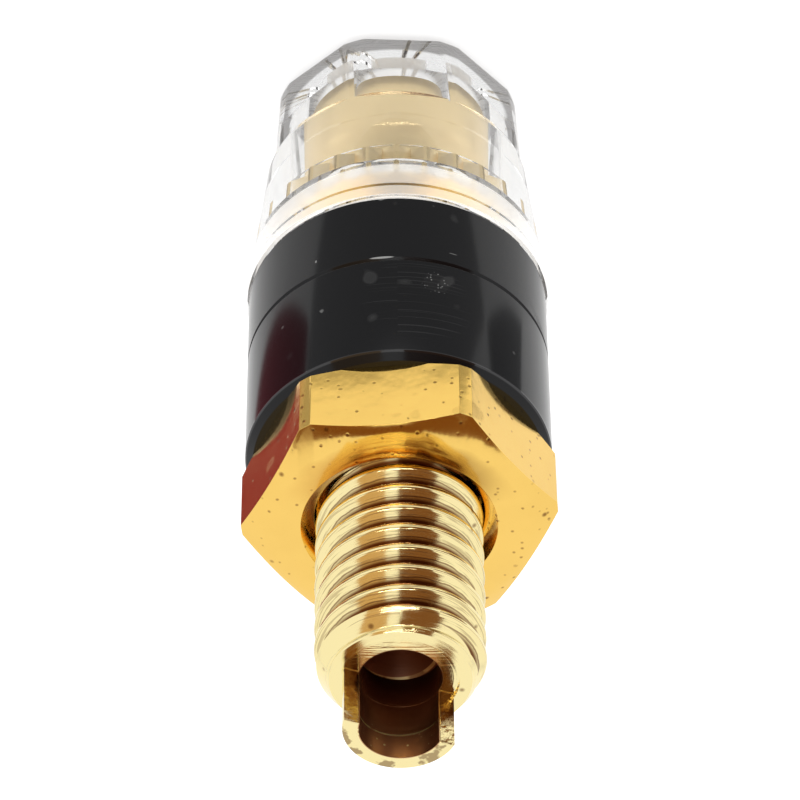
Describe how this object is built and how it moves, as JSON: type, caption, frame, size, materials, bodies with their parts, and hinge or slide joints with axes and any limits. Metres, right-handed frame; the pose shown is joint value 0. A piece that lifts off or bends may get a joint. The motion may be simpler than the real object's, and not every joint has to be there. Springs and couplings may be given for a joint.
{
  "type": "binding post",
  "caption": "Panel binding post: gold-plated threaded post with solder cup, hex nut, two black insulators and a clear screw knob over a plug socket.",
  "frame": {"origin": "centre of the knob's front face, on the axis, where the part stands", "axes": "+Z along the axis from the knob to the solder cup, +Y towards the open side of the solder cup"},
  "size_m": [0.0146, 0.0146, 0.0408],
  "materials": {
    "gold_plate": "turned brass under bright gold plate",
    "gold_plate_nut": "tumbled brass under bright gold plate, finely pitted",
    "black_plastic": "glossy moulded black plastic with faint scratches",
    "clear_plastic": "clear polished moulded plastic"
  },
  "bodies": {
    "post": {"post": "gold_plate", "front_insulator": "black_plastic"},
    "rear_insulator": {"rear_insulator": "black_plastic"},
    "nut": {"nut": "gold_plate_nut"},
    "knob_insert": {"knob_insert": "gold_plate"},
    "knob_shell": {"knob_shell": "clear_plastic"}
  },
  "joints": [
    {"name": "panel_gap", "type": "slide", "parent": "post", "child": "rear_insulator", "axis": [0, 0, 1], "range_m": [0, 0.0065]},
    {"name": "nut_turn", "type": "hinge", "parent": "rear_insulator", "child": "nut", "pos_m": [0, 0, 0.0264], "axis": [0, 0, 1], "range_deg": [0, 1872]},
    {"name": "knob_travel", "type": "slide", "parent": "post", "child": "knob_insert", "axis": [0, 0, -1], "range_m": [0, 0.004]},
    {"name": "knob_turn", "type": "hinge", "parent": "knob_insert", "child": "knob_shell", "pos_m": [0, 0, 0.0068], "axis": [0, 0, -1], "range_deg": [0, 1440]}
  ],
  "couplings": [
    {"joint": "nut_turn", "follows": "panel_gap", "rad_per_m": 5026.5},
    {"joint": "knob_turn", "follows": "knob_travel", "rad_per_m": 6283.1}
  ]
}
